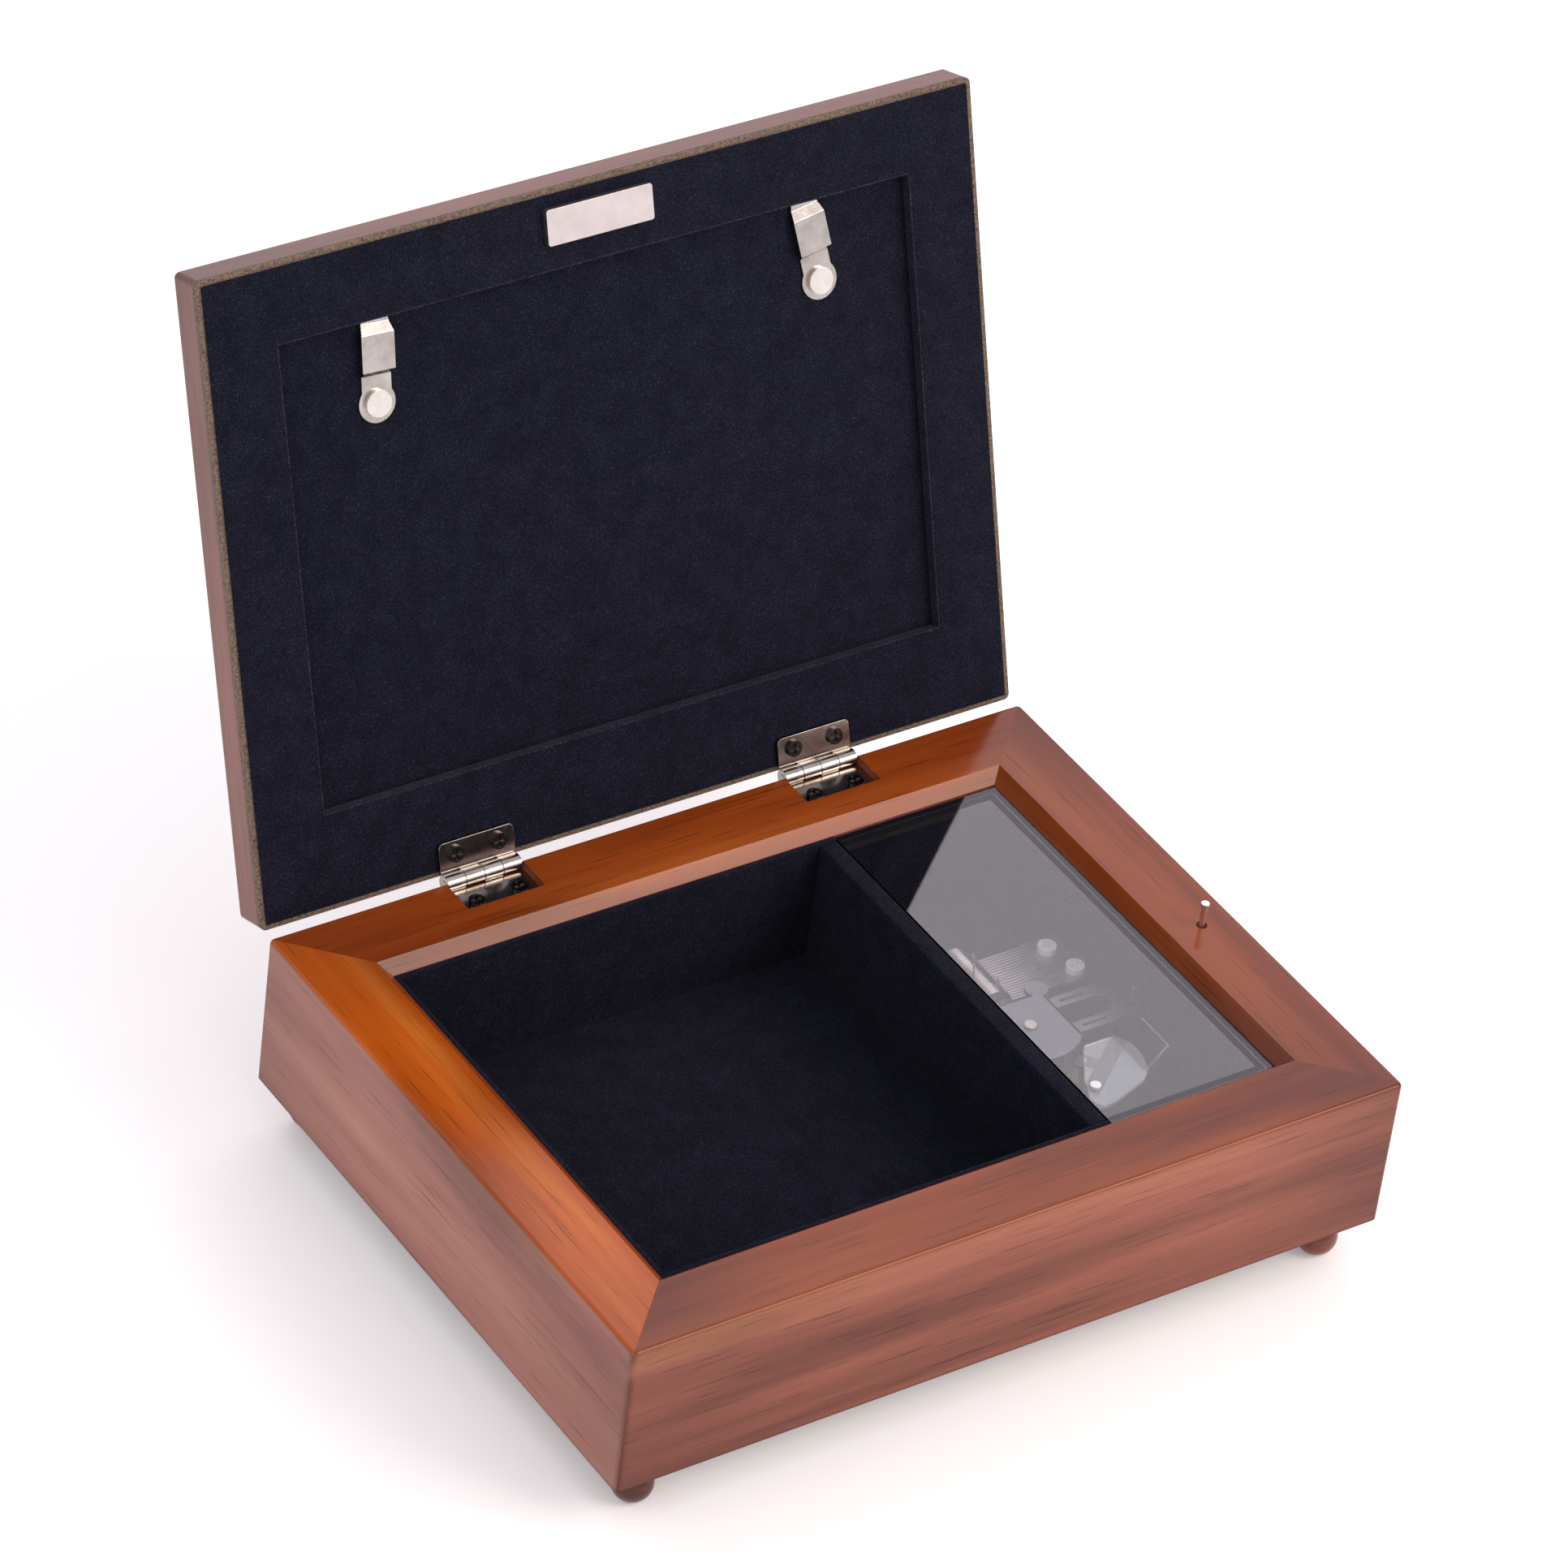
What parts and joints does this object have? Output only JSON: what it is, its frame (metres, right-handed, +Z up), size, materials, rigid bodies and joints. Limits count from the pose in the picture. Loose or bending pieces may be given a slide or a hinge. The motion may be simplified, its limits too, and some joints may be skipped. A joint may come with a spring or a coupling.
{
  "type": "wind-up music box",
  "caption": "Lacquered wooden musical jewellery box on ball feet, with a hinged picture-frame lid, a velvet tray and a wound comb movement under glass.",
  "frame": {"origin": "on the table plane under the middle of the open box's outline", "axes": "+X to the right seen from the front, +Y to the hinged back, +Z up; stored with the lid open"},
  "size_m": [0.235, 0.2474, 0.2255],
  "materials": {
    "lacquered_mahogany": "glossy lacquer",
    "turned_mahogany": "glossy lacquer",
    "bare_board": "sanded",
    "velvet": "short pile",
    "raw_board": "raw cut edge",
    "white_card": "matt",
    "clear_glass": "polished",
    "clear_plastic": "clear moulded",
    "nickel_plate": "bright plated",
    "dark_screws": "plated, worn dark",
    "zinc_casting": "cast, plated grey",
    "steel": "ground",
    "brass": "machined"
  },
  "bodies": {
    "case": {"back_liner": "velvet", "ball_feet": "turned_mahogany", "base_leaf_screws": "dark_screws", "bedplate": "zinc_casting", "bedplate_screws": "dark_screws", "bottom_panel": "bare_board", "case_back_wall": "lacquered_mahogany", "case_front_wall": "lacquered_mahogany", "case_left_wall": "lacquered_mahogany", "case_right_wall": "lacquered_mahogany", "comb": "steel", "comb_screws": "zinc_casting", "divider": "velvet", "drum_bridge": "zinc_casting", "front_liner": "velvet", "glass_ledges": "bare_board", "glass_pane": "clear_glass", "governor_cover": "clear_plastic", "governor_frame": "zinc_casting", "governor_screw": "dark_screws", "hinge_pins": "nickel_plate", "left_base_leaf": "nickel_plate", "left_liner": "velvet", "right_base_leaf": "nickel_plate", "right_liner": "velvet", "rim_back_rail": "lacquered_mahogany", "rim_front_rail": "lacquered_mahogany", "rim_left_rail": "lacquered_mahogany", "rim_right_rail": "lacquered_mahogany", "stop_bracket": "zinc_casting", "tray_floor_pad": "velvet"},
    "lid": {"left_lid_leaf": "nickel_plate", "right_lid_leaf": "nickel_plate", "lid_leaf_screws": "dark_screws", "lid_front_rail": "lacquered_mahogany", "lid_back_rail": "lacquered_mahogany", "lid_left_rail": "lacquered_mahogany", "lid_right_rail": "lacquered_mahogany", "lid_border_board": "raw_board", "lid_border_velvet": "velvet", "lid_back_panel": "velvet", "photo_card": "white_card", "lid_glass": "clear_glass", "name_plate": "nickel_plate", "clip_rivets": "nickel_plate"},
    "left_clip": {"left_clip": "nickel_plate"},
    "right_clip": {"right_clip": "nickel_plate"},
    "key": {"winding_key": "zinc_casting", "winding_arbor": "steel"},
    "drum": {"spring_drum": "brass", "mainspring": "steel"},
    "cylinder": {"note_cylinder": "steel", "cylinder_arbor": "brass"},
    "governor_wheel": {"governor_wheel": "brass"},
    "worm": {"governor_worm": "steel", "governor_fan": "brass"},
    "stop_lever": {"stop_lever": "steel"},
    "stop_pin": {"stop_pin": "nickel_plate"}
  },
  "joints": [
    {"name": "lid_hinge", "type": "hinge", "parent": "case", "child": "lid", "pos_m": [0, 0.05416, 0.05788], "axis": [1, 0, 0], "range_deg": [0, 108]},
    {"name": "left_clip_swivel", "type": "hinge", "parent": "lid", "child": "left_clip", "pos_m": [-0.0675, 0.10134, 0.18207], "axis": [0, -0.9489, 0.3156], "range_deg": [-90, 90]},
    {"name": "right_clip_swivel", "type": "hinge", "parent": "lid", "child": "right_clip", "pos_m": [0.0675, 0.10134, 0.18207], "axis": [0, -0.9489, 0.3156], "range_deg": [-90, 90]},
    {"name": "key_turn", "type": "hinge", "parent": "case", "child": "key", "pos_m": [0.058, -0.04362, 0.01], "axis": [0, 0, 1], "continuous": true},
    {"name": "drum_turn", "type": "hinge", "parent": "case", "child": "drum", "pos_m": [0.058, -0.04362, 0.025], "axis": [0, 0, 1], "continuous": true},
    {"name": "cylinder_turn", "type": "hinge", "parent": "case", "child": "cylinder", "pos_m": [0.058, -0.01732, 0.03115], "axis": [0, 1, 0], "continuous": true},
    {"name": "governor_wheel_turn", "type": "hinge", "parent": "case", "child": "governor_wheel", "pos_m": [0.06486, -0.05903, 0.025], "axis": [0, 0, 1], "continuous": true},
    {"name": "worm_turn", "type": "hinge", "parent": "case", "child": "worm", "pos_m": [0.06831, -0.06363, 0.02955], "axis": [0.8, 0.6, 0], "continuous": true},
    {"name": "stop_pin_slide", "type": "slide", "parent": "case", "child": "stop_pin", "axis": [0, 0, -1], "range_m": [0, 0.0066]},
    {"name": "stop_lever_tilt", "type": "hinge", "parent": "case", "child": "stop_lever", "pos_m": [0.089, -0.05332, 0.03565], "axis": [0, 1, 0], "range_deg": [0, 22.2]}
  ],
  "couplings": [
    {"joint": "cylinder_turn", "follows": "drum_turn", "ratio": 3},
    {"joint": "governor_wheel_turn", "follows": "drum_turn", "ratio": -4},
    {"joint": "worm_turn", "follows": "drum_turn", "ratio": 64},
    {"joint": "stop_pin_slide", "follows": "lid_hinge", "m_per_rad": 0.0035014},
    {"joint": "stop_lever_tilt", "follows": "lid_hinge", "ratio": 0.20555}
  ]
}
